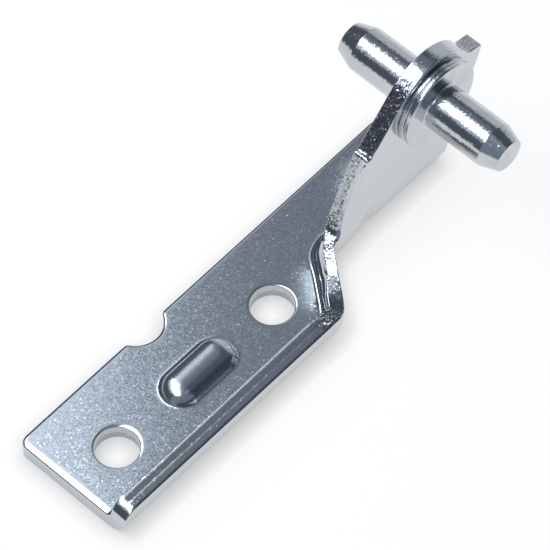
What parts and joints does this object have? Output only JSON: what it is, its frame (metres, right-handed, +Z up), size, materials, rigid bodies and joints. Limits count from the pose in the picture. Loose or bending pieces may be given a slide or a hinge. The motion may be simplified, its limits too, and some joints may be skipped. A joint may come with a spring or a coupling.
{
  "type": "refrigerator middle hinge",
  "caption": "Pressed, zinc-plated refrigerator middle hinge: a slim screw plate whose turned-up flange steps in and rises to a round-headed tab holding the cross pin that the doors turn on.",
  "frame": {"origin": "midway between the screw holes, on the underside of the plate", "axes": "+X along the plate towards the pin, +Y across the plate towards its plain notched edge, +Z up from the plate"},
  "size_m": [0.0844, 0.0302, 0.0283],
  "materials": {
    "zinc_sheet": "bright bluish zinc plate over pressed sheet, with fine grain and rough cut edges",
    "zinc_pin": "bright zinc plate over turned steel"
  },
  "bodies": {
    "root": {"bracket": "zinc_sheet", "hinge_pin": "zinc_pin"}
  },
  "joints": []
}
